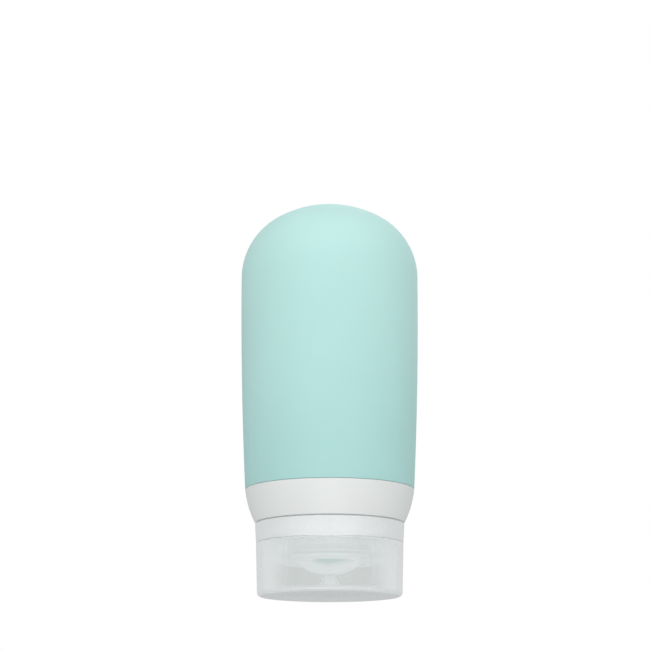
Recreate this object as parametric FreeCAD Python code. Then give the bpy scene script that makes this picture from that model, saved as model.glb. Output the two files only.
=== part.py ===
import FreeCAD, Part
import math
import os

# Travel bottle of soft silicone, standing on the flat end of its flip lid.
# Lengths are in mm, +Z is up, the front is -Y and the lid's hinge is at +Y.

# Heights
overall_height = 92.0        # lid's flat end to the crown of the silicone
lid_height = 12.0            # lid's flat end to the parting plane
parting_gap = 0.15           # between the rims of the lid and the cap base
skirt_height = 4.4           # cap base's outer skirt
collar_gap = 0.25            # cap base to collar
collar_height = 7.6
seat_gap = 0.05              # collar to the silicone's shoulder

# Flip lid
cap_radius = 16.85           # lid and cap base, at the parting plane
lid_draft = 0.35             # how far the lid narrows towards its flat end
lid_wall = 1.4
lid_end_thickness = 1.2
lid_edge_round = 1.3
lid_inner_round = 0.8
post_root_radius = 2.75
post_root_round = 0.6
plug_clearance = 0.12        # plug in the spout's orifice
plug_length = 0.9
plug_tip_radius = 0.8

# Deck and spout dome of the cap base
deck_step = 4.15             # how far the deck stands into the lid
deck_thickness = 1.4
step_clearance = 1.0         # lid's wall around the deck's step
dome_rim = 1.0               # from the mouth of the hollow out to the foot of the dome
dome_height = 3.05
dome_wall = 1.1              # at the orifice
seat_height = 1.0            # valve's seat above the deck's underside
orifice_radius = 1.4

# Skirts of the cap base
base_flare = 0.25            # how far the outer skirt widens towards its top
base_wall = 1.6
skirt_room = 1.9             # outer skirt to threaded skirt
shoulder_thickness = 1.2
thread_skirt_wall = 1.4
rib_count = 12
rib_thickness = 0.8
rib_height = 2.4
notch_radius = 6.0           # thumb notch under the lid's front edge
notch_depth = 0.9

# Slit valve, its cup and its retainer
cup_wall = 0.8
cup_ledge = 1.2              # seat of the valve's flange, around the hollow's mouth
cup_lip = 0.2                # snap lip over the retainer
valve_flange_thickness = 1.2
valve_flange_clearance = 0.3
valve_skirt_clearance = 0.6  # valve's skirt in the hollow's mouth
valve_taper = 0.7            # how far the skirt narrows towards its tip
valve_drop = 0.7             # flange's underside to the tip
valve_dish = 0.8
valve_wall = 0.7
slit_share = 0.5             # of the tip's diameter
slit_width = 0.2
retainer_width = 2.3
retainer_thickness = 1.0
retainer_clearance = 0.1

# Threaded neck and its washer
neck_clearance = 0.3         # neck's bore around the valve cup
neck_wall = 1.8
washer_thickness = 1.0
washer_clearance = 0.2
thread_pitch = 3.0
thread_depth = 0.95
thread_root_width = 1.4
thread_crest_width = 0.7
thread_clearance = 0.3       # crest to the facing root
thread_lead_in = 1.2         # neck's rim to the middle of the first turn
thread_bed = 0.2             # how far a ridge is sunk in its wall
neck_turns = 1.3
cap_turns = 1.0

# Collar, and the neck fitting inside it
collar_bottom_radius = 17.15
collar_top_radius = 19.45
collar_bulge = 0.35
collar_floor = 1.4
collar_hole_clearance = 0.35
collar_edge_round = 0.2
collar_lip = 1.8             # width of its top edge
flange_radius = 15.9
flange_clearance = 0.3
flange_thickness = 1.4
funnel_height = 1.6
barb_radius = 14.0
barb_wall = 1.6
barb_height = 6.95
bead_depth = 0.6
bead_height = 1.2

# Silicone body
body_radius = 20.8           # at its widest
dome_rise = 17.25            # from its widest to the crown
dome_shoulder_radius = 15.8
body_wall = 2.0
foot_round = 0.2             # its edge on the collar
silicone_clearance = 0.1
flare_height = 4.0           # inside, from the bead up to the full bore

# Living hinge
pad_width = 12.4
pad_height = 2.6
pad_stand = 0.3              # pad's flat face beyond the cap's radius
pad_root = 1.2               # how deep a pad is set in its wall
film_thickness = 0.4
film_loop_radius = 0.45
film_width = 2.4
film_spacing = 8.8
strap_loop_radius = 1.2
strap_width = 3.2

overrun = 1.0                # how far a cutter passes the face it cuts

# Levels and radii that follow from them
half_gap = parting_gap / 2
lid_rim_z = lid_height - half_gap
base_z = lid_height + half_gap
base_top_z = base_z + skirt_height
deck_z = lid_height - deck_step
deck_top_z = deck_z + deck_thickness
apex_z = deck_z - dome_height
lid_end_radius = cap_radius - lid_draft
base_top_radius = cap_radius + base_flare
step_radius = cap_radius - lid_wall - step_clearance
shoulder_z = base_z + shoulder_thickness
seat_z = deck_z + seat_height
valve_top_z = seat_z + valve_flange_thickness
retainer_top_z = valve_top_z + retainer_thickness
cup_top_z = retainer_top_z + cup_lip
skirt_outer_radius = cap_radius - base_wall - skirt_room
skirt_bore = skirt_outer_radius - thread_skirt_wall
crest_radius = skirt_bore - thread_clearance
neck_radius = crest_radius - thread_depth
neck_bore = neck_radius - neck_wall
cup_outer_radius = neck_bore - neck_clearance
cup_radius = cup_outer_radius - cup_wall
hollow_radius = cup_radius - cup_ledge
dome_radius = hollow_radius + dome_rim
valve_skirt_radius = hollow_radius - valve_skirt_clearance
valve_tip_radius = valve_skirt_radius - valve_taper
slit_length = 2 * valve_tip_radius * slit_share
rim_z = deck_top_z + washer_thickness
thread_z = rim_z + thread_lead_in
collar_z = base_top_z + collar_gap
floor_z = collar_z + collar_floor
flange_top_z = floor_z + flange_thickness
collar_top_z = collar_z + collar_height
barb_top_z = flange_top_z + barb_height
bead_z = barb_top_z - bead_height
foot_z = collar_top_z + seat_gap
widest_z = overall_height - dome_rise
pad_face = cap_radius + pad_stand
collar_bore = flange_radius + flange_clearance
collar_top_bore = collar_top_radius - collar_lip


def at(r, z):
    return FreeCAD.Vector(r, 0, z)


def line(a, b):
    return Part.LineSegment(at(*a), at(*b)).toShape()


def arc(a, middle, b):
    return Part.Arc(at(*a), at(*middle), at(*b)).toShape()


def on_circle(centre, radius, angle):
    return (centre[0] + radius * math.cos(angle), centre[1] + radius * math.sin(angle))


def arc_about(centre, radius, start, end):
    # angles are in radians, from the outward direction towards +Z
    middle = (start + end) / 2
    return arc(*(on_circle(centre, radius, angle) for angle in (start, middle, end)))


def path(*points):
    return [line(a, b) for a, b in zip(points, points[1:])]


def turned(edges):
    wire = Part.Wire(Part.__sortEdges__(edges))
    return Part.Face(wire).revolve(FreeCAD.Vector(0, 0, 0), FreeCAD.Vector(0, 0, 1), 360)


def turned_outline(*points):
    return turned(path(*points, points[0]))


def sagged(chord, sag):
    # radius of the circle that rises by sag over half a chord
    return (chord ** 2 + sag ** 2) / (2 * sag)


def block(width, y_from, y_to, z_from, z_to):
    corner = FreeCAD.Vector(-width / 2, y_from, z_from)
    return Part.makeBox(width, y_to - y_from, z_to - z_from, corner)


def round_edges(solid, radius, r, z):
    # rounds the circular edges that pass through radius r at height z
    near = [e for e in solid.Edges if any(is_at(v.Point, r, z) for v in e.Vertexes)]
    circles = [e for e in near if isinstance(e.Curve, Part.Circle)]
    return solid.makeFillet(radius, circles)


def is_at(point, r, z):
    tolerance = parting_gap / 10
    return abs(math.hypot(point.x, point.y) - r) < tolerance and abs(point.z - z) < tolerance


def thread(root_radius, outward, turns, start_angle):
    # a ridge of trapezoid section; outward is 1 on a neck, and -1 inside a skirt
    bed = root_radius - outward * thread_bed
    crest = root_radius + outward * thread_depth
    root_half = thread_root_width / 2
    crest_half = thread_crest_width / 2
    bed_half = root_half + (root_half - crest_half) * thread_bed / thread_depth
    corners = [(bed, -bed_half), (crest, -crest_half), (crest, crest_half), (bed, bed_half)]
    section = Part.Wire(path(*corners, corners[0]))
    helix = Part.makeHelix(thread_pitch, thread_pitch * turns, root_radius)
    ridge = Part.Wire(helix).makePipeShell([section], True, True)
    ridge.rotate(FreeCAD.Vector(0, 0, 0), FreeCAD.Vector(0, 0, 1), start_angle)
    ridge.translate(at(0, thread_z))
    return ridge


def flip_lid():
    inner_end = lid_end_radius - lid_wall
    mouth_radius = orifice_radius - plug_clearance
    plug_z = apex_z + plug_length
    cup = turned_outline((0, 0), (lid_end_radius, 0), (cap_radius, lid_rim_z),
                         (cap_radius - lid_wall, lid_rim_z), (inner_end, lid_end_thickness),
                         (0, lid_end_thickness))
    cup = round_edges(cup, lid_edge_round, lid_end_radius, 0)
    cup = round_edges(cup, lid_inner_round, inner_end, lid_end_thickness)
    post = turned_outline((0, 0), (post_root_radius + post_root_round, 0),
                          (post_root_radius + post_root_round, lid_end_thickness),
                          (post_root_radius, lid_end_thickness + post_root_round),
                          (mouth_radius, apex_z), (plug_tip_radius, plug_z), (0, plug_z))
    pad = block(pad_width, cap_radius - pad_root, pad_face, lid_rim_z - pad_height, lid_rim_z)
    return cup.fuse([post, pad]).removeSplitter()


def dome_edges():
    # outside of the dome from the deck's plane to the orifice, then the hollow up to its mouth
    radius = sagged(dome_radius, dome_height)
    centre = (0, apex_z + radius)
    rim = -math.acos(dome_radius / radius)
    lip = -math.acos(orifice_radius / radius)
    roof_z = apex_z + dome_wall
    inner_radius = sagged(hollow_radius, seat_z - roof_z)
    inner_centre = (0, roof_z + inner_radius)
    inner_rim = math.asin((seat_z - inner_centre[1]) / inner_radius)
    inner_lip = -math.acos(orifice_radius / inner_radius)
    return [
        arc_about(centre, radius, rim, lip),
        line(on_circle(centre, radius, lip), on_circle(inner_centre, inner_radius, inner_lip)),
        arc_about(inner_centre, inner_radius, inner_lip, inner_rim),
    ]


def cap_base():
    lip_radius = cup_radius - cup_lip
    shell = path((dome_radius, deck_z), (step_radius, deck_z), (step_radius, base_z),
                 (cap_radius, base_z), (base_top_radius, base_top_z),
                 (base_top_radius - base_wall, base_top_z), (cap_radius - base_wall, shoulder_z),
                 (skirt_outer_radius, shoulder_z), (skirt_outer_radius, base_top_z),
                 (skirt_bore, base_top_z), (skirt_bore, deck_top_z),
                 (cup_outer_radius, deck_top_z), (cup_outer_radius, cup_top_z),
                 (lip_radius, cup_top_z), (lip_radius, retainer_top_z),
                 (cup_radius, retainer_top_z), (cup_radius, seat_z),
                 (hollow_radius, seat_z))
    base = turned(shell + dome_edges())
    rib = Part.makeBox(base_top_radius - base_wall / 2 - skirt_bore, rib_thickness,
                       rib_height + shoulder_thickness,
                       FreeCAD.Vector(skirt_bore + thread_skirt_wall / 2, -rib_thickness / 2, base_z))
    inside = Part.makeCone(cap_radius - base_wall / 2, base_top_radius - base_wall / 2,
                           skirt_height, at(0, base_z))
    ribs = []
    for number in range(rib_count):
        spoke = rib.copy()
        spoke.rotate(FreeCAD.Vector(0, 0, 0), FreeCAD.Vector(0, 0, 1), 360 * number / rib_count)
        ribs.append(spoke.common(inside))
    pad = block(pad_width, cap_radius - pad_root, pad_face, base_z, base_z + pad_height)
    ridge = thread(skirt_bore, -1, cap_turns, 180)
    notch_y = cap_radius - notch_depth + notch_radius
    notch = Part.makeCylinder(notch_radius, 2 * cap_radius,
                              FreeCAD.Vector(-cap_radius, -notch_y, lid_height),
                              FreeCAD.Vector(1, 0, 0))
    return base.fuse(ribs + [pad, ridge]).cut(notch).removeSplitter()


def hinge_strap():
    loops = [(film_loop_radius, film_width, -film_spacing / 2),
             (film_loop_radius, film_width, film_spacing / 2),
             (strap_loop_radius, strap_width, 0)]
    straps = []
    for radius, width, x in loops:
        foot = FreeCAD.Vector(x - width / 2, pad_face, lid_height)
        along = FreeCAD.Vector(1, 0, 0)
        loop = Part.makeCylinder(radius + film_thickness, width, foot, along)
        loop = loop.cut(Part.makeCylinder(radius, width, foot, along))
        reach = radius + film_thickness + overrun
        behind = block(2 * cap_radius, pad_face, pad_face + reach, lid_height - reach, lid_height + reach)
        straps.append(loop.common(behind))
    return Part.makeCompound([s for strap in straps for s in strap.Solids])


def drip_valve():
    tip_z = seat_z - valve_drop
    inner_tip = valve_tip_radius - valve_wall
    flange_radius_here = cup_radius - valve_flange_clearance
    outer = sagged(valve_tip_radius, valve_dish)
    inner = sagged(inner_tip, valve_dish)
    outer_centre = (0, tip_z + valve_dish - outer)
    inner_centre = (0, tip_z + valve_wall + valve_dish - inner)
    quarter = math.pi / 2
    body = path((valve_tip_radius, tip_z), (valve_skirt_radius, seat_z),
                (flange_radius_here, seat_z), (flange_radius_here, valve_top_z),
                (valve_skirt_radius - valve_wall, valve_top_z), (inner_tip, tip_z + valve_wall))
    dish = [arc_about(outer_centre, outer, math.acos(valve_tip_radius / outer), quarter),
            line((0, tip_z + valve_dish), (0, tip_z + valve_dish + valve_wall)),
            arc_about(inner_centre, inner, quarter, math.acos(inner_tip / inner))]
    valve = turned(body + dish)
    slit = block(slit_length, -slit_width / 2, slit_width / 2, tip_z, valve_top_z)
    cross = slit.copy()
    cross.rotate(FreeCAD.Vector(0, 0, 0), FreeCAD.Vector(0, 0, 1), 90)
    return valve.cut([slit, cross])


def valve_retainer():
    outer = cup_radius - retainer_clearance
    inner = outer - retainer_width
    return turned_outline((inner, valve_top_z), (outer, valve_top_z),
                          (outer, retainer_top_z), (inner, retainer_top_z))


def seal_washer():
    inner = cup_outer_radius + washer_clearance
    outer = skirt_bore - washer_clearance
    return turned_outline((inner, deck_top_z), (outer, deck_top_z), (outer, rim_z), (inner, rim_z))


def neck_fitting():
    barb_bore = barb_radius - barb_wall
    fitting = turned_outline((neck_bore, rim_z), (neck_radius, rim_z), (neck_radius, floor_z),
                             (flange_radius, floor_z), (flange_radius, flange_top_z),
                             (barb_radius, flange_top_z), (barb_radius, bead_z),
                             (barb_radius + bead_depth, bead_z), (barb_radius, barb_top_z),
                             (barb_bore, barb_top_z), (barb_bore, flange_top_z),
                             (neck_bore, flange_top_z - funnel_height))
    return fitting.fuse(thread(neck_radius, 1, neck_turns, 0)).removeSplitter()


def collar():
    hole = crest_radius + collar_hole_clearance
    rise = (collar_top_radius - collar_bottom_radius, collar_height)
    slant = math.hypot(*rise)
    bulge = ((collar_bottom_radius + collar_top_radius) / 2 + collar_bulge * rise[1] / slant,
             (collar_z + collar_top_z) / 2 - collar_bulge * rise[0] / slant)
    low = (collar_bottom_radius, collar_z)
    high = (collar_top_radius, collar_top_z)
    inside = path(high, (collar_top_bore, collar_top_z), (collar_bore, floor_z),
                  (hole, floor_z), (hole, collar_z), low)
    ring = turned([arc(low, bulge, high)] + inside)
    ring = round_edges(ring, collar_edge_round, *low)
    return round_edges(ring, collar_edge_round, *high)


def dome_curve(skin, from_z):
    # the body's outline at a depth of skin below its outer face: side, shoulder and crown
    lean = body_radius - collar_top_radius
    side_radius = sagged(widest_z - foot_z, lean)
    side_centre = (body_radius - side_radius, widest_z)
    shoulder_centre = (body_radius - dome_shoulder_radius, widest_z)
    offset = shoulder_centre[0]
    crown_radius = ((dome_rise ** 2 + offset ** 2 - dome_shoulder_radius ** 2)
                    / (2 * (dome_rise - dome_shoulder_radius)))
    crown_centre = (0, overall_height - crown_radius)
    tangent = math.atan2(shoulder_centre[1] - crown_centre[1], offset)
    start = -math.asin((widest_z - from_z) / (side_radius - skin))
    edges = [arc_about(side_centre, side_radius - skin, start, 0),
             arc_about(shoulder_centre, dome_shoulder_radius - skin, 0, tangent),
             arc_about(crown_centre, crown_radius - skin, tangent, math.pi / 2)]
    return on_circle(side_centre, side_radius - skin, start), edges


def silicone_body():
    neck_inner = barb_radius + silicone_clearance
    bead_room = neck_inner + bead_depth
    neck_z = flange_top_z + silicone_clearance
    ledge_z = bead_z - silicone_clearance
    flare_z = barb_top_z + silicone_clearance
    slope = (collar_top_bore - collar_bore) / (collar_top_z - floor_z)
    neck_low = collar_bore + slope * (neck_z - floor_z) - silicone_clearance
    neck_high = collar_bore + slope * (foot_z - floor_z) - silicone_clearance
    foot, outer = dome_curve(0, foot_z + foot_round)
    bore, inner = dome_curve(body_wall, flare_z + flare_height)
    foot_inner = foot[0] - foot_round
    corner = (foot_inner, foot_z + foot_round)
    rounding = arc_about(corner, foot_round, -math.pi / 2, 0)
    mouth = path((foot_inner, foot_z), (neck_high, foot_z), (neck_low, neck_z), (neck_inner, neck_z),
                 (neck_inner, ledge_z), (bead_room, ledge_z), (bead_room, flare_z), bore)
    crown = line((0, overall_height - body_wall), (0, overall_height))
    return turned(outer + [crown] + inner + mouth + [rounding])


os.makedirs("parts", exist_ok=True)
nodes = [flip_lid, cap_base, hinge_strap, drip_valve, valve_retainer, seal_washer,
         neck_fitting, collar, silicone_body]
for make in nodes:
    shape = make()
    shape.exportStep("parts/" + make.__name__ + ".step")
    print(make.__name__, shape.isValid(), len(shape.Solids), round(shape.Volume))
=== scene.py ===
import bpy
import math
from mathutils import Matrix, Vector


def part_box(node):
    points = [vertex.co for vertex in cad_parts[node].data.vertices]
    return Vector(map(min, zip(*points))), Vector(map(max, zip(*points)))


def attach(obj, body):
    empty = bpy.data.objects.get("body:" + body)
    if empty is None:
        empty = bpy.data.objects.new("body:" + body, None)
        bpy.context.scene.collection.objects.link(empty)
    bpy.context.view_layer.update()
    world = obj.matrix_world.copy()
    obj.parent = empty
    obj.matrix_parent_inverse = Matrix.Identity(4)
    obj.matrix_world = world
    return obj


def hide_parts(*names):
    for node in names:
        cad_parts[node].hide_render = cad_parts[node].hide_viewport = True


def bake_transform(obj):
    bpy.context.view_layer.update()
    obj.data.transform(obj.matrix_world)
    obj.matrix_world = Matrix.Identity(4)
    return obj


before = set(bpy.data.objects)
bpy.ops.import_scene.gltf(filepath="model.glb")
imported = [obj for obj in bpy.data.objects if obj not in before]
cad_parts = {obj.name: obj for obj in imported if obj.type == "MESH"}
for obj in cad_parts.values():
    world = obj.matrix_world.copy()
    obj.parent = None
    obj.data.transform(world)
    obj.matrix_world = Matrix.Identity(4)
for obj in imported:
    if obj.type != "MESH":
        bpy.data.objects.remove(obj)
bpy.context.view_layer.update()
mm = 0.001
print("frame loaded")


# sizes below are in mm; heights and radii that the CAD already holds are read from it
def lowOf(node):
    return [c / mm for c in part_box(node)[0]]


def highOf(node):
    return [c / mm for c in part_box(node)[1]]


lidTop = highOf("flip_lid")[2]
capRadius = highOf("flip_lid")[0]
baseTop = highOf("cap_base")[2]
baseTopRadius = highOf("cap_base")[0]
deckTop = lowOf("seal_washer")[2]
rimZ = highOf("seal_washer")[2]
valveTop = lowOf("valve_retainer")[2]
retainerTop = highOf("valve_retainer")[2]
collarLow = lowOf("collar")[2]
collarTop = highOf("collar")[2]
barbTop = highOf("neck_fitting")[2]
flangeRadius = highOf("neck_fitting")[0]
bodyRadius = highOf("silicone_body")[0]
crownZ = highOf("silicone_body")[2]
neckEndZ = lowOf("silicone_body")[2]

# fits shared by more than one piece
fits = {
    "partingGap": 0.15,
    "partingRound": 0.15,
    "padFace": 17.15,       # flat faces that the hinge straps are rooted on
    "padWidth": 12.4,
    "padHeight": 2.6,
    "padRoot": 1.2,         # how deep a pad is set in its wall
    "padBevel": 0.25,
    "padInset": 0.02,       # keeps a pad's end off the rim's face
    "orificeRadius": 1.4,
    "apexZ": 4.8,           # lowest point of the spout dome
    "threadPitch": 3.0,
    "threadStart": 1.2,     # above the neck's rim
    "skirtBore": 11.95,     # threaded skirt inside the cap
    "neckRadius": 10.7,
    "valveFlange": 1.2,
    "collarTopRadius": 19.45,
}
partingZ = lidTop + fits["partingGap"] / 2
baseZ = partingZ + fits["partingGap"] / 2
seatZ = valveTop - fits["valveFlange"]


# lathe tools
latheSettings = {"roundSteps": 4, "support": 0.12, "mergeGap": 0.002, "smoothDeg": 38, "bevelSegments": 3}


def arcRings(centreR, centreZ, radius, startDeg, endDeg, steps):
    rings = []
    for i in range(steps + 1):
        a = math.radians(startDeg + (endDeg - startDeg) * i / steps)
        rings.append((centreR + radius * math.cos(a), centreZ + radius * math.sin(a)))
    return rings


def bowRings(start, end, bulge, steps):
    # a line that bows out to its right
    along = Vector(end) - Vector(start)
    side = Vector((along.y, -along.x)).normalized()
    rings = []
    for i in range(steps + 1):
        t = i / steps
        p = Vector(start) + along * t + side * bulge * 4 * t * (1 - t)
        rings.append((p.x, p.y))
    return rings


def plain(rings):
    # rings as corners without a rounding
    return [(r, z, 0) for r, z in rings]


def roundedRings(corners, steps=latheSettings["roundSteps"], support=latheSettings["support"]):
    # corners are (radius, height, rounding); each rounding gets an arc and a supporting ring on both sides
    rings = []
    for i, (r, z, rounding) in enumerate(corners):
        if not rounding:
            rings.append((r, z))
            continue
        here = Vector((r, z))
        back = (Vector(corners[i - 1][:2]) - here).normalized()
        on = (Vector(corners[(i + 1) % len(corners)][:2]) - here).normalized()
        half = back.angle(on) / 2
        reach = rounding / math.tan(half)
        centre = here + (back + on).normalized() * rounding / math.sin(half)
        first = here + back * reach
        last = here + on * reach
        rings.append(tuple(first + back * support))
        for k in range(steps + 1):
            spoke = (first - centre).slerp(last - centre, k / steps)
            rings.append(tuple(centre + spoke * rounding))
        rings.append(tuple(last + on * support))
    return rings


def deselectAll():
    if bpy.context.object and bpy.context.object.mode != "OBJECT":
        bpy.ops.object.mode_set(mode="OBJECT")
    bpy.ops.object.select_all(action="DESELECT")


def pullRing(fromRing, toRing):
    climb = (toRing[1] - fromRing[1]) * mm
    bpy.ops.mesh.extrude_region_move(TRANSFORM_OT_translate={"value": (0, 0, climb)})
    if toRing[0] == 0:
        bpy.ops.mesh.merge(type="CENTER")
        return
    k = toRing[0] / fromRing[0]
    bpy.ops.transform.resize(value=(k, k, 1), center_override=(0, 0, toRing[1] * mm))


def lathe(name, rings, segments):
    # a circle pulled from ring to ring; radius 0 closes on the axis, otherwise the last ring meets the first
    deselectAll()
    poleStart = rings[0][0] == 0
    walk = rings[1:] if poleStart else rings
    startRadius, startZ = walk[0]
    bpy.ops.mesh.primitive_circle_add(vertices=segments, radius=startRadius * mm,
                                      location=(0, 0, startZ * mm))
    piece = bpy.context.object
    piece.name = name
    piece.data.name = name
    bpy.ops.object.transform_apply(location=True, rotation=True, scale=True)
    bpy.ops.object.mode_set(mode="EDIT")
    bpy.ops.mesh.select_mode(type="EDGE")
    bpy.ops.mesh.select_all(action="SELECT")
    for a, b in zip(walk, walk[1:]):
        pullRing(a, b)
    if poleStart:
        bpy.ops.mesh.select_all(action="DESELECT")
        bpy.ops.mesh.select_mode(type="VERT")
        bpy.ops.mesh.select_non_manifold()
        pullRing(walk[0], rings[0])
    elif walk[-1][0] != 0:
        pullRing(walk[-1], walk[0])
    tidyMesh()
    return piece


def tidyMesh():
    bpy.ops.mesh.select_all(action="SELECT")
    bpy.ops.mesh.remove_doubles(threshold=latheSettings["mergeGap"] * mm)
    bpy.ops.mesh.normals_make_consistent(inside=False)
    bpy.ops.object.mode_set(mode="OBJECT")


def selectOnly(piece):
    deselectAll()
    piece.select_set(True)
    bpy.context.view_layer.objects.active = piece


def smooth(piece):
    selectOnly(piece)
    bpy.ops.object.shade_smooth_by_angle(angle=math.radians(latheSettings["smoothDeg"]))


def blockAt(name, low, high, bevel=0):
    deselectAll()
    middle = [(a + b) / 2 * mm for a, b in zip(low, high)]
    bpy.ops.mesh.primitive_cube_add(size=1, location=middle)
    piece = bpy.context.object
    piece.name = name
    piece.scale = [(b - a) * mm for a, b in zip(low, high)]
    bpy.ops.object.transform_apply(location=True, rotation=True, scale=True)
    if bevel:
        bpy.ops.object.mode_set(mode="EDIT")
        bpy.ops.mesh.select_all(action="SELECT")
        bpy.ops.mesh.bevel(offset=bevel * mm, segments=latheSettings["bevelSegments"], affect="EDGES")
        bpy.ops.object.mode_set(mode="OBJECT")
    return piece


def boolean(piece, other, operation):
    selectOnly(piece)
    bpy.ops.object.modifier_add(type="BOOLEAN")
    mod = piece.modifiers[-1]
    mod.operation = operation
    mod.solver = "EXACT"
    mod.object = other
    bpy.ops.object.modifier_apply(modifier=mod.name)
    bpy.data.objects.remove(other)


def hingePad(name, lowZ, highZ):
    # block on the rear wall with a flat face for the straps
    half = fits["padWidth"] / 2
    low = (-half, capRadius - fits["padRoot"], lowZ)
    return blockAt(name, low, (half, fits["padFace"], highZ), fits["padBevel"])


# screw thread of the neck and of the cap
threadSettings = {"depth": 0.95, "rootWidth": 1.4, "crestWidth": 0.7, "bed": 0.3, "stepsPerTurn": 72}


def threadRidge(name, rootRadius, outward, turns, startDeg):
    # trapezoid ring of edges, wound up by a Screw modifier
    t = threadSettings
    deselectAll()
    bed = rootRadius - outward * t["bed"]
    crest = rootRadius + outward * t["depth"]
    bpy.ops.mesh.primitive_plane_add(size=1)
    ridge = bpy.context.object
    ridge.name = name
    corners = [(bed, -t["rootWidth"] / 2), (crest, -t["crestWidth"] / 2),
               (bed, t["rootWidth"] / 2), (crest, t["crestWidth"] / 2)]
    startZ = rimZ + fits["threadStart"]
    for v, (r, z) in zip(ridge.data.vertices, corners):
        v.co = (r * mm, 0, (startZ + z) * mm)
    bpy.ops.object.mode_set(mode="EDIT")
    bpy.ops.mesh.select_all(action="SELECT")
    bpy.ops.mesh.delete(type="ONLY_FACE")
    bpy.ops.object.mode_set(mode="OBJECT")
    bpy.ops.object.modifier_add(type="SCREW")
    screw = ridge.modifiers[-1]
    screw.axis = "Z"
    screw.angle = 2 * math.pi * turns
    screw.screw_offset = fits["threadPitch"] * turns * mm
    screw.steps = int(t["stepsPerTurn"] * turns)
    screw.render_steps = screw.steps
    bpy.ops.object.modifier_apply(modifier=screw.name)
    ridge.rotation_euler.z = math.radians(startDeg)
    bpy.ops.object.transform_apply(location=True, rotation=True, scale=True)
    bpy.ops.object.mode_set(mode="EDIT")
    bpy.ops.mesh.select_all(action="SELECT")
    bpy.ops.mesh.fill_holes(sides=0)
    tidyMesh()
    return ridge


# silicone body: domed, soft walled, hooked over the neck's bead
siliconeSettings = {
    "segments": 160, "wall": 2.0, "domeRise": 17.25, "shoulderRadius": 15.8, "footRound": 0.2,
    "footGap": 0.05, "neckInner": 14.1, "beadRoom": 14.7, "neckLow": 16.42, "neckHigh": 17.56,
    "ledgeDrop": 1.3, "flareHeight": 4.0, "clearance": 0.1, "seatRound": 0.1, "endRound": 0.4,
    "mouthRound": 0.3, "flareRound": 0.6,
    "poleDeg": 88.5, "crownSteps": 10, "shoulderSteps": 14, "sideSteps": 20, "footSteps": 5,
}


def bodyCurve(skin, lowZ):
    # three arcs from the crown down: crown, shoulder, side
    s = siliconeSettings
    rise = s["domeRise"]
    shoulder = s["shoulderRadius"]
    widestZ = crownZ - rise
    footZ = collarTop + s["footGap"]
    lean = bodyRadius - fits["collarTopRadius"]
    sideRadius = ((widestZ - footZ) ** 2 + lean ** 2) / (2 * lean)
    shoulderR = bodyRadius - shoulder
    crownRadius = (rise ** 2 + shoulderR ** 2 - shoulder ** 2) / (2 * (rise - shoulder))
    tangent = math.degrees(math.atan2(widestZ - crownZ + crownRadius, shoulderR))
    sideEnd = -math.degrees(math.asin((widestZ - lowZ) / (sideRadius - skin)))
    crownArc = arcRings(0, crownZ - crownRadius, crownRadius - skin, s["poleDeg"], tangent, s["crownSteps"])
    shoulderArc = arcRings(shoulderR, widestZ, shoulder - skin, tangent, 0, s["shoulderSteps"])
    sideArc = arcRings(bodyRadius - sideRadius, widestZ, sideRadius - skin, 0, sideEnd, s["sideSteps"])
    return crownArc + shoulderArc[1:] + sideArc[1:]


def siliconeBody():
    s = siliconeSettings
    footZ = collarTop + s["footGap"]
    ledgeZ = barbTop - s["ledgeDrop"]
    flareZ = barbTop + s["clearance"]
    outer = bodyCurve(0, footZ + s["footRound"])
    inner = bodyCurve(s["wall"], flareZ + s["flareHeight"])
    footR = outer[-1][0] - s["footRound"]
    foot = arcRings(footR, footZ + s["footRound"], s["footRound"], 0, -90, s["footSteps"])[1:]
    # the mouth's first and last corners are the foot's and the inner wall's own ends
    mouth = plain(foot[-1:])
    mouth += [(s["neckHigh"], footZ, s["seatRound"]), (s["neckLow"], neckEndZ, s["endRound"]),
              (s["neckInner"], neckEndZ, s["mouthRound"]), (s["neckInner"], ledgeZ, 0),
              (s["beadRoom"], ledgeZ, 0), (s["beadRoom"], flareZ, s["flareRound"])]
    mouth += plain(inner[-1:])
    rings = [(0, crownZ)] + outer + foot + roundedRings(mouth)[1:-1]
    rings += inner[::-1] + [(0, crownZ - s["wall"])]
    piece = lathe("siliconeBody", rings, s["segments"])
    smooth(piece)
    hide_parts("silicone_body")
    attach(piece, "bottle")
    piece.data.materials.append(mouldedFinish("mintSilicone"))
    print("silicone body done")


# collar: white ring that clamps the silicone's mouth
collarSettings = {
    "segments": 144, "lowRadius": 17.15, "bulge": 0.35, "lip": 1.8, "bore": 16.2, "floor": 1.4, "hole": 12.0,
    "edgeRound": 0.2, "lipRound": 0.3, "sideSteps": 12,
}


def collarRing():
    s = collarSettings
    edge = s["edgeRound"]
    floorZ = collarLow + s["floor"]
    topRadius = fits["collarTopRadius"]
    side = bowRings((s["lowRadius"], collarLow), (topRadius, collarTop), s["bulge"], s["sideSteps"])
    corners = [(s["hole"], collarLow, edge), (*side[0], edge)]
    corners += plain(side[2:-2])        # the rings beside both ends give way to the edge roundings
    corners += [(*side[-1], edge), (topRadius - s["lip"], collarTop, s["lipRound"]),
                (s["bore"], floorZ, edge), (s["hole"], floorZ, edge)]
    piece = lathe("collarRing", roundedRings(corners), s["segments"])
    smooth(piece)
    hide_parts("collar")
    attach(piece, "bottle")
    piece.data.materials.append(mouldedFinish("whitePlastic"))
    print("collar done")


# neck fitting: flanged and barbed tube with the outer thread
neckSettings = {
    "segments": 128, "bore": 8.9, "floor": 1.4, "flange": 1.4, "barb": 14.0, "barbWall": 1.6,
    "beadDepth": 0.6, "beadHeight": 1.2, "funnel": 1.6, "turns": 1.3, "threadDeg": 0,
    "rimRound": 0.3, "edgeRound": 0.2, "beadRound": 0.1, "stepRound": 0.5, "funnelRound": 0.4,
    "roundSteps": 3,
}


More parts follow.
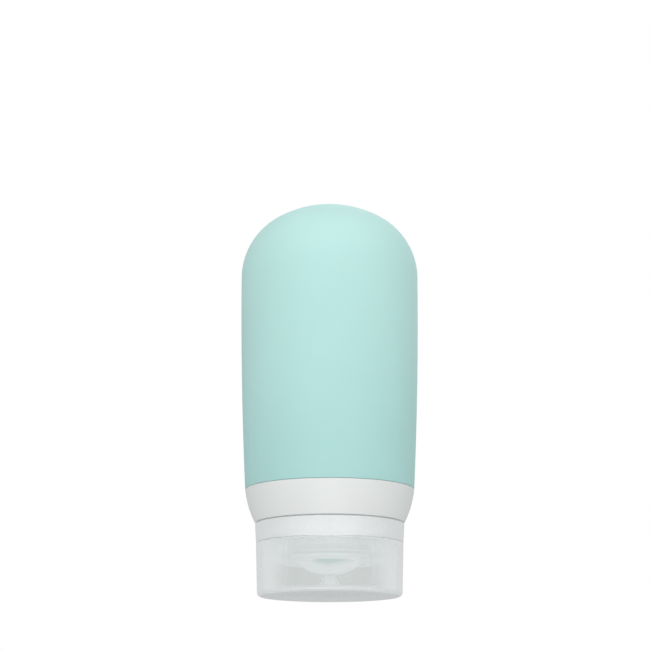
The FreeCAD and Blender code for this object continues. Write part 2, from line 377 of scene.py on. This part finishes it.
def neckTube():
    s = neckSettings
    rim = s["rimRound"]
    edge = s["edgeRound"]
    neckRadius = fits["neckRadius"]
    flangeZ = collarLow + s["floor"]
    flangeTop = flangeZ + s["flange"]
    beadZ = barbTop - s["beadHeight"]
    barbBore = s["barb"] - s["barbWall"]
    corners = [(s["bore"], rimZ, rim), (neckRadius, rimZ, rim), (neckRadius, flangeZ, rim),
               (flangeRadius, flangeZ, edge), (flangeRadius, flangeTop, edge), (s["barb"], flangeTop, edge),
               (s["barb"], beadZ, 0), (s["barb"] + s["beadDepth"], beadZ, s["beadRound"]),
               (s["barb"], barbTop, edge), (barbBore, barbTop, rim), (barbBore, flangeTop, s["stepRound"]),
               (s["bore"], flangeTop - s["funnel"], s["funnelRound"])]
    piece = lathe("neckTube", roundedRings(corners, s["roundSteps"]), s["segments"])
    boolean(piece, threadRidge("neckThread", neckRadius, 1, s["turns"], s["threadDeg"]), "UNION")
    smooth(piece)
    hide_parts("neck_fitting")
    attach(piece, "bottle")
    piece.data.materials.append(mouldedFinish("neckPlastic"))
    print("neck done")


def flatRing(name, inner, outer, lowZ, highZ, edge, segments):
    corners = [(inner, lowZ, edge), (outer, lowZ, edge), (outer, highZ, edge), (inner, highZ, edge)]
    return lathe(name, roundedRings(corners), segments)


# seal washer between the neck's rim and the deck
washerSettings = {"segments": 96, "inner": 8.8, "edgeRound": 0.1}


def washerRing():
    s = washerSettings
    outer = highOf("seal_washer")[0]
    piece = flatRing("washerRing", s["inner"], outer, deckTop, rimZ, s["edgeRound"], s["segments"])
    smooth(piece)
    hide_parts("seal_washer")
    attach(piece, "washer")
    piece.data.materials.append(mouldedFinish("washerRubber"))
    print("washer done")


# cap base: deck with the spout dome, valve cup, threaded skirt and outer skirt
baseSettings = {
    "segments": 144, "deck": 1.4, "domeRadius": 7.6, "domeHeight": 3.05, "domeWall": 1.1, "hollow": 6.6,
    "cup": 7.8, "cupWall": 0.8, "cupLip": 0.2, "skirtWall": 1.4, "wall": 1.6, "shoulder": 1.2,
    "stepInset": 2.4, "ribs": 12, "ribWidth": 0.8, "ribHeight": 2.4, "turns": 1.0, "threadDeg": 180,
    "notchRadius": 6.0, "notchDepth": 0.9, "notchSides": 96,
    "edgeRound": 0.4, "innerRound": 0.2, "rimRound": 0.3, "topRound": 0.35, "domeSteps": 16,
    "hollowSteps": 12,
    "facing": 0.99,         # how squarely a face of the deck looks down
}
deckZ = deckTop - baseSettings["deck"]
stepRadius = capRadius - baseSettings["stepInset"]


def domeRings():
    # down the outside of the dome to the orifice, and back up its hollow
    s = baseSettings
    orifice = fits["orificeRadius"]
    radius = (s["domeRadius"] ** 2 + s["domeHeight"] ** 2) / (2 * s["domeHeight"])
    centre = fits["apexZ"] + radius
    rimDeg = -math.degrees(math.acos(s["domeRadius"] / radius))
    lipDeg = -math.degrees(math.acos(orifice / radius))
    outside = arcRings(0, centre, radius, rimDeg, lipDeg, s["domeSteps"])
    roof = fits["apexZ"] + s["domeWall"]
    depth = seatZ - roof
    innerRadius = (s["hollow"] ** 2 + depth ** 2) / (2 * depth)
    innerCentre = roof + innerRadius
    innerLip = -math.degrees(math.acos(orifice / innerRadius))
    innerRim = math.degrees(math.asin((seatZ - innerCentre) / innerRadius))
    inside = arcRings(0, innerCentre, innerRadius, innerLip, innerRim, s["hollowSteps"])
    corners = [(s["domeRadius"], deckZ, s["rimRound"])] + plain(outside[1:-1])
    corners += [(*outside[-1], s["innerRound"]), (*inside[0], s["innerRound"])] + plain(inside[1:])
    return corners


def baseRibs():
    # spokes between the threaded skirt and the outer one, joined into one object
    s = baseSettings
    shoulderZ = baseZ + s["shoulder"]
    half = s["ribWidth"] / 2
    low = (fits["skirtBore"] + s["skirtWall"] / 2, -half, shoulderZ - s["shoulder"] / 2)
    high = (capRadius - s["wall"] / 2, half, shoulderZ + s["ribHeight"])
    ribs = []
    for i in range(s["ribs"]):
        rib = blockAt("capRib", low, high)
        rib.rotation_euler.z = 2 * math.pi * i / s["ribs"]
        bpy.ops.object.transform_apply(location=True, rotation=True, scale=True)
        ribs.append(rib)
    deselectAll()
    for rib in ribs:
        rib.select_set(True)
    bpy.context.view_layer.objects.active = ribs[0]
    bpy.ops.object.join()
    return ribs[0]


def thumbNotch():
    s = baseSettings
    deselectAll()
    y = -(capRadius - s["notchDepth"] + s["notchRadius"])
    bpy.ops.mesh.primitive_cylinder_add(vertices=s["notchSides"], radius=s["notchRadius"] * mm,
                                        depth=2 * capRadius * mm, location=(0, y * mm, partingZ * mm),
                                        rotation=(0, math.pi / 2, 0))
    notch = bpy.context.object
    bpy.ops.object.transform_apply(location=True, rotation=True, scale=True)
    return notch


def baseLook(face):
    # thick stretches and edges are milkier than the thin walls
    s = baseSettings
    r = math.hypot(face.center.x, face.center.y) / mm
    z = face.center.z / mm
    outward = face.normal.x * face.center.x + face.normal.y * face.center.y > 0
    onStep = r > stepRadius - s["edgeRound"] / 2
    if r < s["domeRadius"] and z < seatZ:
        return "frostedDome"
    if z < deckZ + s["edgeRound"] / 2 and face.normal.z < -s["facing"]:
        return "frostedDeck"
    if z < deckZ + s["edgeRound"]:
        return "frostedRim"
    if onStep and z < deckTop:
        return "frostedEdge"
    if onStep and z < baseZ:
        return "frostedStep"
    if r > capRadius - s["wall"] and outward:
        return "frostedSkirt"
    return "frostedBase"


def capBase():
    s = baseSettings
    small = s["innerRound"]
    rim = s["rimRound"]
    parting = fits["partingRound"]
    shoulderZ = baseZ + s["shoulder"]
    cupTop = retainerTop + s["cupLip"]
    cupOuter = s["cup"] + s["cupWall"]
    lipRadius = s["cup"] - s["cupLip"]
    skirtBore = fits["skirtBore"]
    skirtOuter = skirtBore + s["skirtWall"]
    corners = [(stepRadius, deckZ, s["edgeRound"])] + domeRings()
    corners += [(s["cup"], seatZ, 0), (s["cup"], retainerTop, 0), (lipRadius, retainerTop, 0),
                (lipRadius, cupTop, 0), (cupOuter, cupTop, small), (cupOuter, deckTop, small),
                (skirtBore, deckTop, small), (skirtBore, baseTop, rim), (skirtOuter, baseTop, rim),
                (skirtOuter, shoulderZ, small), (capRadius - s["wall"], shoulderZ, rim),
                (baseTopRadius - s["wall"], baseTop, rim), (baseTopRadius, baseTop, s["topRound"]),
                (capRadius, baseZ, parting), (stepRadius, baseZ, parting)]
    corners += [(stepRadius, deckTop, 0)]       # parts the step's wall where its look changes
    piece = lathe("capBase", roundedRings(corners), s["segments"])
    boolean(piece, baseRibs(), "UNION")
    boolean(piece, hingePad("basePad", baseZ + fits["padInset"], baseZ + fits["padHeight"]), "UNION")
    boolean(piece, threadRidge("capThread", skirtBore, -1, s["turns"], s["threadDeg"]), "UNION")
    boolean(piece, thumbNotch(), "DIFFERENCE")
    smooth(piece)
    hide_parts("cap_base")
    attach(piece, "cap")
    giveLooks(piece, baseLook, ["frostedBase", "frostedDome", "frostedDeck", "frostedRim", "frostedEdge",
                                "frostedStep", "frostedSkirt"])
    print("cap base done")


# slit valve: mint disc with a cross slit, held by its flange
valveSettings = {
    "segments": 96, "skirt": 6.0, "tip": 5.3, "dish": 0.8, "wall": 0.7, "slitLength": 5.3, "slitWidth": 0.2,
    "slitReach": 1.0,       # how far the slit's cutters pass the valve
    "edgeRound": 0.2, "seatRound": 0.1, "roundSteps": 3, "support": 0.05, "poleDeg": 88, "dishSteps": 8,
}


def slitValve():
    s = valveSettings
    edge = s["edgeRound"]
    tipZ = lowOf("drip_valve")[2]
    flange = highOf("drip_valve")[0]
    dishZ = tipZ + s["dish"]
    innerTip = s["tip"] - s["wall"]
    outer = (s["tip"] ** 2 + s["dish"] ** 2) / (2 * s["dish"])
    inner = (innerTip ** 2 + s["dish"] ** 2) / (2 * s["dish"])
    outerEdge = math.degrees(math.acos(s["tip"] / outer))
    innerEdge = math.degrees(math.acos(innerTip / inner))
    dish = arcRings(0, dishZ - outer, outer, s["poleDeg"], outerEdge, s["dishSteps"])
    back = arcRings(0, tipZ + s["wall"] + s["dish"] - inner, inner, innerEdge, s["poleDeg"], s["dishSteps"])
    corners = [(0, dishZ, 0)] + plain(dish[:-1]) + [(*dish[-1], edge)]
    corners += [(s["skirt"], seatZ, s["seatRound"]), (flange, seatZ, edge), (flange, valveTop, edge),
                (s["skirt"] - s["wall"], valveTop, edge)]
    corners += plain(back) + [(0, dishZ + s["wall"], 0)]
    piece = lathe("slitValve", roundedRings(corners, s["roundSteps"], s["support"]), s["segments"])
    half = s["slitLength"] / 2
    thin = s["slitWidth"] / 2
    lowZ = tipZ - s["slitReach"]
    highZ = valveTop + s["slitReach"]
    boolean(piece, blockAt("slit", (-half, -thin, lowZ), (half, thin, highZ)), "DIFFERENCE")
    boolean(piece, blockAt("slit", (-thin, -half, lowZ), (thin, half, highZ)), "DIFFERENCE")
    smooth(piece)
    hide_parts("drip_valve")
    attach(piece, "cap")
    piece.data.materials.append(mouldedFinish("valveSilicone"))
    print("valve done")


# ring that holds the valve's flange in its cup
retainerSettings = {"segments": 96, "inner": 5.4, "edgeRound": 0.2}


def retainerRing():
    s = retainerSettings
    outer = highOf("valve_retainer")[0]
    piece = flatRing("retainerRing", s["inner"], outer, valveTop, retainerTop, s["edgeRound"], s["segments"])
    smooth(piece)
    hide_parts("valve_retainer")
    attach(piece, "cap")
    piece.data.materials.append(mouldedFinish("neckPlastic"))
    print("retainer done")


# flip lid: flat-ended cup with the plug post in its middle
lidSettings = {
    "segments": 144, "endRadius": 16.5, "wall": 1.4, "end": 1.2, "edgeRound": 0.8, "innerRound": 0.8,
    "postRoot": 2.75, "postFoot": 0.6, "plugClearance": 0.12, "plugLength": 0.9, "plugTip": 0.8,
    "gateRadius": 0.9, "gateDepth": 0.12, "gateSlope": 0.25,        # shallow moulding mark in the end
    "rimRound": 0.25, "postRound": 0.3, "mouthRound": 0.2, "roundSteps": 6,
    "facing": 0.99,         # how squarely a face of the end looks down
    "flat": 0.01,           # slack on the end's height
}


def lidLook(face):
    s = lidSettings
    r = math.hypot(face.center.x, face.center.y) / mm
    z = face.center.z / mm
    if r < s["postRoot"] + s["postFoot"] and z > s["end"]:
        return "frostedPost"
    if z < s["edgeRound"] and r > s["endRadius"] - s["edgeRound"] and face.normal.z > -s["facing"]:
        return "frostedCorner"
    # painted shade: the down-facing end gets a greyer tone
    if z < s["gateDepth"] + s["flat"]:
        return "frostedEndShade"
    return "frostedLid"


def flipLid():
    s = lidSettings
    end = s["end"]
    post = s["postRound"]
    mouth = fits["orificeRadius"] - s["plugClearance"]
    plugZ = fits["apexZ"] + s["plugLength"]
    corners = [(0, s["gateDepth"], 0), (s["gateRadius"], s["gateDepth"], 0),
               (s["gateRadius"] + s["gateSlope"], 0, 0), (s["endRadius"], 0, s["edgeRound"]),
               (capRadius, lidTop, fits["partingRound"]), (capRadius - s["wall"], lidTop, s["rimRound"]),
               (s["endRadius"] - s["wall"], end, s["innerRound"]), (s["postRoot"] + s["postFoot"], end, post),
               (s["postRoot"], end + s["postFoot"], post), (mouth, fits["apexZ"], s["mouthRound"]),
               (s["plugTip"], plugZ, post), (0, plugZ, 0)]
    piece = lathe("flipLid", roundedRings(corners, s["roundSteps"]), s["segments"])
    boolean(piece, hingePad("lidPad", lidTop - fits["padHeight"], lidTop - fits["padInset"]), "UNION")
    smooth(piece)
    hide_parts("flip_lid")
    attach(piece, "lid")
    giveLooks(piece, lidLook, ["frostedLid", "frostedPost", "frostedCorner", "frostedEndShade"])
    print("lid done")


# living hinge: two short films and a longer snap strap between them
hingeSettings = {
    "filmLoop": 0.45, "strapLoop": 1.2, "thickness": 0.4, "filmWidth": 2.4, "filmSpacing": 8.8,
    "strapWidth": 3.2, "steps": 18,
}


def hingeLoop(name, x, width, loop):
    # cross-section of the strap, spun half a turn about the fold line
    s = hingeSettings
    deselectAll()
    padFace = fits["padFace"] * mm
    middle = partingZ + loop + s["thickness"] / 2
    bpy.ops.mesh.primitive_plane_add(size=1, location=(x * mm, padFace, middle * mm),
                                     rotation=(math.pi / 2, 0, 0))
    strap = bpy.context.object
    strap.name = name
    strap.data.name = name
    strap.scale = (width * mm, s["thickness"] * mm, 1)
    bpy.ops.object.transform_apply(location=True, rotation=True, scale=True)
    bpy.ops.object.mode_set(mode="EDIT")
    bpy.ops.mesh.select_all(action="SELECT")
    foldLine = (x * mm, padFace, partingZ * mm)
    bpy.ops.mesh.spin(steps=s["steps"], angle=math.pi, center=foldLine, axis=(1, 0, 0))
    tidyMesh()
    return strap


def hingeStraps():
    s = hingeSettings
    side = s["filmSpacing"] / 2
    films = [hingeLoop("hingeFilmLeft", -side, s["filmWidth"], s["filmLoop"]),
             hingeLoop("hingeFilmRight", side, s["filmWidth"], s["filmLoop"])]
    snap = hingeLoop("snapStrap", 0, s["strapWidth"], s["strapLoop"])
    clear = frostedClear("frostedHinge")
    for piece, loop in ((films[0], s["filmLoop"]), (films[1], s["filmLoop"]), (snap, s["strapLoop"])):
        smooth(piece)
        piece.data.materials.append(clear)
        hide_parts("hinge_strap")
        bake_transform(piece)
    print("hinge done")


# material tools
def newMaterial(name):
    mat = bpy.data.materials.new(name)
    mat.use_nodes = True
    return mat, mat.node_tree.nodes, mat.node_tree.links, mat.node_tree.nodes["Principled BSDF"]


def noiseNode(nodes, links, scale, detail):
    coord = nodes.new("ShaderNodeTexCoord")
    noise = nodes.new("ShaderNodeTexNoise")
    noise.inputs["Scale"].default_value = scale
    noise.inputs["Detail"].default_value = detail
    links.new(coord.outputs["Object"], noise.inputs["Vector"])
    return noise


def rampNode(nodes, links, source, first, last, low=0.3, high=0.7):
    ramp = nodes.new("ShaderNodeValToRGB")
    ramp.color_ramp.elements[0].position = low
    ramp.color_ramp.elements[1].position = high
    ramp.color_ramp.elements[0].color = (*first, 1)
    ramp.color_ramp.elements[1].color = (*last, 1)
    links.new(source, ramp.inputs["Fac"])
    return ramp


def rangeNode(nodes, links, source, low, high):
    spread = nodes.new("ShaderNodeMapRange")
    spread.inputs["To Min"].default_value = low
    spread.inputs["To Max"].default_value = high
    links.new(source, spread.inputs["Value"])
    return spread


def fromRange(spread, low, high, kind="LINEAR"):
    spread.interpolation_type = kind
    spread.inputs["From Min"].default_value = low
    spread.inputs["From Max"].default_value = high


def bumpNode(nodes, links, source, strength, distance):
    bump = nodes.new("ShaderNodeBump")
    bump.inputs["Strength"].default_value = strength
    bump.inputs["Distance"].default_value = distance
    links.new(source, bump.inputs["Height"])
    return bump


# moulded finishes: shades drift with a soft cloud, or with the fine grain where no cloud is given;
# bump is (strength, depth in metres)
noiseDetail = {"cloud": 3, "grain": 2}
mouldedSettings = {
    "mintSilicone": {
        "shades": ((0.43, 0.705, 0.67), (0.455, 0.735, 0.70)),
        # painted light: paler shades for the crown, as if lit from above
        "paintedLightCrownShades": ((0.54, 0.83, 0.785), (0.57, 0.86, 0.815)),
        "cloud": 40, "grain": 1800, "rough": (0.46, 0.6), "bump": (0.12, 0.00003),
        "sockets": {"Specular IOR Level": 0.3, "Subsurface Weight": 0.2,
                    "Subsurface Radius": (0.6, 1.0, 0.9), "Subsurface Scale": 0.002},
    },
    "whitePlastic": {"shades": ((0.79, 0.81, 0.795), (0.82, 0.835, 0.82)), "cloud": 60, "grain": 1400,
                     "rough": (0.34, 0.46), "bump": (0.08, 0.00002)},
    "neckPlastic": {"shades": ((0.84, 0.88, 0.87), (0.88, 0.91, 0.90)), "cloud": 70, "grain": 1200,
                    "rough": (0.3, 0.42)},
    "washerRubber": {"shades": ((0.50, 0.60, 0.575), (0.54, 0.64, 0.615)), "grain": 1500,
                     "rough": (0.6, 0.75)},
    "valveSilicone": {"shades": ((0.22, 0.57, 0.49), (0.28, 0.63, 0.55)), "grain": 1600,
                      "rough": (0.45, 0.6)},
}


def paintedTopLight(nodes, links, foot, crown):
    # painted light: the tone grows paler from the foot up to the crown, standing in for light falling from
    # above
    coord = nodes.new("ShaderNodeTexCoord")
    axes = nodes.new("ShaderNodeSeparateXYZ")
    links.new(coord.outputs["Object"], axes.inputs["Vector"])
    height = rangeNode(nodes, links, axes.outputs["Z"], 0.0, 1.0)
    fromRange(height, collarTop * mm, crownZ * mm)
    tint = nodes.new("ShaderNodeMixRGB")
    links.new(height.outputs["Result"], tint.inputs["Fac"])
    links.new(foot.outputs["Color"], tint.inputs["Color1"])
    links.new(crown.outputs["Color"], tint.inputs["Color2"])
    return tint


def mouldedFinish(name):
    s = mouldedSettings[name]
    mat, nodes, links, shader = newMaterial(name)
    grain = noiseNode(nodes, links, s["grain"], noiseDetail["grain"])
    cloud = grain
    if "cloud" in s:
        cloud = noiseNode(nodes, links, s["cloud"], noiseDetail["cloud"])
    tint = rampNode(nodes, links, cloud.outputs["Fac"], *s["shades"])
    # painted light: the crown is painted paler than the foot
    if "paintedLightCrownShades" in s:
        crown = rampNode(nodes, links, cloud.outputs["Fac"], *s["paintedLightCrownShades"])
        tint = paintedTopLight(nodes, links, tint, crown)
    links.new(tint.outputs["Color"], shader.inputs["Base Color"])
    rough = rangeNode(nodes, links, grain.outputs["Fac"], *s["rough"])
    links.new(rough.outputs["Result"], shader.inputs["Roughness"])
    if "bump" in s:
        bump = bumpNode(nodes, links, grain.outputs["Fac"], *s["bump"])
        links.new(bump.outputs["Normal"], shader.inputs["Normal"])
    for socket, value in s.get("sockets", {}).items():
        shader.inputs[socket].default_value = value
    return mat


# frosted plastic: veil is how much a wall hides face on and most how much along it; it climbs between the
# facings rise and full; a look names only what differs from the common values
frostCommon = {
    "rise": 0.35, "full": 0.9, "most": 1.0, "tone": (0.96, 0.975, 0.97),
    "mottle": 0.013,        # how far a tone varies, up and down
    "cloud": 90, "grain": 700, "rough": (0.24, 0.34), "blend": 0.5,
    "shadow": 0.1,          # share of the veil that casts shadow
}
frostLooks = {
    "frostedLid": {"veil": 0.2, "rise": 0.1},
    "frostedPost": {"veil": 0.36},
    "frostedCorner": {"veil": 0.5, "tone": (0.94, 0.955, 0.95)},
    # painted shade: the lid's down-facing end is greyer than the rest of the lid
    "frostedEndShade": {"veil": 0.3, "rise": 0.2, "tone": (0.765, 0.785, 0.78)},
    "frostedBase": {"veil": 0.3},
    "frostedDome": {"veil": 0.16, "rise": 0.28, "full": 0.65, "tone": (0.915, 0.955, 0.94)},
    "frostedDeck": {"veil": 0.2, "most": 0.85, "tone": (0.94, 0.98, 0.97)},
    "frostedEdge": {"veil": 0.65, "rise": 0.0, "full": 0.4, "most": 0.95, "tone": (0.70, 0.75, 0.735)},
    "frostedStep": {"veil": 0.2, "rise": 0.0, "full": 0.4, "most": 0.95, "tone": (0.78, 0.83, 0.815)},
    "frostedRim": {"veil": 0.65, "tone": (0.95, 0.985, 0.975)},
    "frostedSkirt": {"veil": 0.75, "tone": (0.93, 0.945, 0.94)},
    "frostedHinge": {"veil": 0.4},
}


def frostedClear(name):
    s = {**frostCommon, **frostLooks[name]}
    mat, nodes, links, shader = newMaterial(name)
    cloud = noiseNode(nodes, links, s["cloud"], noiseDetail["cloud"])
    grain = noiseNode(nodes, links, s["grain"], noiseDetail["grain"])
    dull = [c - s["mottle"] for c in s["tone"]]
    bright = [c + s["mottle"] for c in s["tone"]]
    tint = rampNode(nodes, links, cloud.outputs["Fac"], dull, bright)
    links.new(tint.outputs["Color"], shader.inputs["Base Color"])
    rough = rangeNode(nodes, links, grain.outputs["Fac"], *s["rough"])
    links.new(rough.outputs["Result"], shader.inputs["Roughness"])
    layer = nodes.new("ShaderNodeLayerWeight")
    layer.inputs["Blend"].default_value = s["blend"]
    milk = rangeNode(nodes, links, layer.outputs["Facing"], s["veil"], s["most"])
    fromRange(milk, s["rise"], s["full"], "SMOOTHSTEP")
    rays = nodes.new("ShaderNodeLightPath")
    let = rangeNode(nodes, links, rays.outputs["Is Shadow Ray"], 1.0, s["shadow"])
    veil = nodes.new("ShaderNodeMath")
    veil.operation = "MULTIPLY"
    links.new(milk.outputs["Result"], veil.inputs[0])
    links.new(let.outputs["Result"], veil.inputs[1])
    links.new(veil.outputs["Value"], shader.inputs["Alpha"])
    return mat


def giveLooks(piece, lookOf, looks):
    for look in looks:
        piece.data.materials.append(frostedClear(look))
    for face in piece.data.polygons:
        face.material_index = looks.index(lookOf(face))


# stage: pale floor seen only from above, so that the low view stays clear; it fades into the backdrop
stageSettings = {
    "floorSize": 4.0, "floorDrop": 0.02, "floorColour": (0.93, 0.94, 0.94), "floorRough": 0.9,
    "fadeStart": 0.1, "fadeEnd": 1.1,
}


def paleFloor():
    s = stageSettings
    deselectAll()
    bpy.ops.mesh.primitive_plane_add(size=s["floorSize"], location=(0, 0, -s["floorDrop"] * mm))
    floor = bpy.context.object
    floor.name = "paleFloor"
    bpy.ops.object.transform_apply(location=True, rotation=True, scale=True)
    mat, nodes, links, shader = newMaterial("paleFloor")
    shader.inputs["Base Color"].default_value = (*s["floorColour"], 1)
    shader.inputs["Roughness"].default_value = s["floorRough"]
    side = nodes.new("ShaderNodeNewGeometry")
    coord = nodes.new("ShaderNodeTexCoord")
    reach = nodes.new("ShaderNodeVectorMath")
    reach.operation = "LENGTH"
    links.new(coord.outputs["Object"], reach.inputs[0])
    fade = rangeNode(nodes, links, reach.outputs["Value"], 0.0, 1.0)
    fromRange(fade, s["fadeStart"], s["fadeEnd"], "SMOOTHSTEP")
    gone = nodes.new("ShaderNodeMath")
    gone.operation = "MAXIMUM"
    links.new(side.outputs["Backfacing"], gone.inputs[0])
    links.new(fade.outputs["Result"], gone.inputs[1])
    clear = nodes.new("ShaderNodeBsdfTransparent")
    mix = nodes.new("ShaderNodeMixShader")
    links.new(gone.outputs["Value"], mix.inputs["Fac"])
    links.new(shader.outputs["BSDF"], mix.inputs[1])
    links.new(clear.outputs["BSDF"], mix.inputs[2])
    links.new(mix.outputs["Shader"], nodes["Material Output"].inputs["Surface"])
    floor.data.materials.append(mat)
    floor.visible_shadow = False
    floor.visible_diffuse = False
    floor.visible_glossy = False


# light: soft boxes aimed at the bottle's middle, in metres; the backdrop seen through the clear cap is grey,
# a painted shade for the dim inside of the cap
lightSettings = {
    "ambient": 0.6, "ambientColour": (0.97, 0.985, 1), "backdrop": 1.0, "openColour": (1, 1, 1),
    "shadeBehindCap": (0.37, 0.403, 0.393), "openLayers": 1.5, "clearLayers": 48, "aim": (0, 0, 0.045),
    "boxes": [
        {"name": "leftBox", "place": (-0.4, -0.75, 0.65), "size": 0.7, "power": 1.9},
        {"name": "rightBox", "place": (0.4, -0.75, 0.6), "size": 0.7, "power": 1.8},
        {"name": "lowBox", "place": (-0.05, -0.75, -0.45), "size": 0.7, "power": 2.1},
        {"name": "topBox", "place": (0.1, -0.2, 1.2), "size": 0.8, "power": 1.2},
        {"name": "backBox", "place": (0.3, 0.9, 0.6), "size": 0.8, "power": 0.9},
    ],
}


def studioWorld():
    s = lightSettings
    world = bpy.data.worlds.new("studio")
    bpy.context.scene.world = world
    world.use_nodes = True
    nodes = world.node_tree.nodes
    links = world.node_tree.links
    ambient = nodes["Background"]
    ambient.inputs["Color"].default_value = (*s["ambientColour"], 1)
    ambient.inputs["Strength"].default_value = s["ambient"]
    backdrop = nodes.new("ShaderNodeBackground")
    backdrop.inputs["Strength"].default_value = s["backdrop"]
    rays = nodes.new("ShaderNodeLightPath")
    past = nodes.new("ShaderNodeMath")
    past.operation = "LESS_THAN"
    past.inputs[1].default_value = s["openLayers"]
    links.new(rays.outputs["Transparent Depth"], past.inputs[0])
    # painted shade: past the cap's walls the backdrop turns grey
    glow = rampNode(nodes, links, past.outputs["Value"], s["shadeBehindCap"], s["openColour"], 0, 1)
    links.new(glow.outputs["Color"], backdrop.inputs["Color"])
    mix = nodes.new("ShaderNodeMixShader")
    links.new(rays.outputs["Is Camera Ray"], mix.inputs["Fac"])
    links.new(ambient.outputs["Background"], mix.inputs[1])
    links.new(backdrop.outputs["Background"], mix.inputs[2])
    links.new(mix.outputs["Shader"], nodes["World Output"].inputs["Surface"])


def studioLight():
    s = lightSettings
    studioWorld()
    for b in s["boxes"]:
        place = Vector(b["place"])
        turn = (Vector(s["aim"]) - place).to_track_quat("-Z", "Y").to_euler()
        bpy.ops.object.light_add(type="AREA", location=place, rotation=turn)
        lamp = bpy.context.object
        lamp.name = b["name"]
        lamp.data.shape = "SQUARE"
        lamp.data.size = b["size"]
        lamp.data.energy = b["power"]
    bpy.context.scene.view_settings.view_transform = "Standard"
    bpy.context.scene.cycles.transparent_max_bounces = s["clearLayers"]
    print("stage lit")


# camera: low and close, as in the photograph
cameraSettings = {
    "distance": 402.0, "height": -33.0, "side": -1.08, "tiltDeg": 13.486, "focalPixels": 1756.0,
    "imagePixels": 650.0, "sensor": 36, "clipStart": 10,
}


def photoCamera():
    s = cameraSettings
    bpy.ops.object.camera_add(location=(s["side"] * mm, -s["distance"] * mm, s["height"] * mm),
                              rotation=(math.radians(90 + s["tiltDeg"]), 0, 0))
    camera = bpy.context.object
    camera.name = "photoCamera"
    camera.data.sensor_width = s["sensor"]
    camera.data.lens = s["sensor"] * s["focalPixels"] / s["imagePixels"]
    camera.data.clip_start = s["clipStart"] * mm
    bpy.context.scene.camera = camera
    print("camera set")


siliconeBody()
collarRing()
neckTube()
washerRing()
capBase()
slitValve()
retainerRing()
flipLid()
hingeStraps()
deselectAll()
paleFloor()
studioLight()
photoCamera()
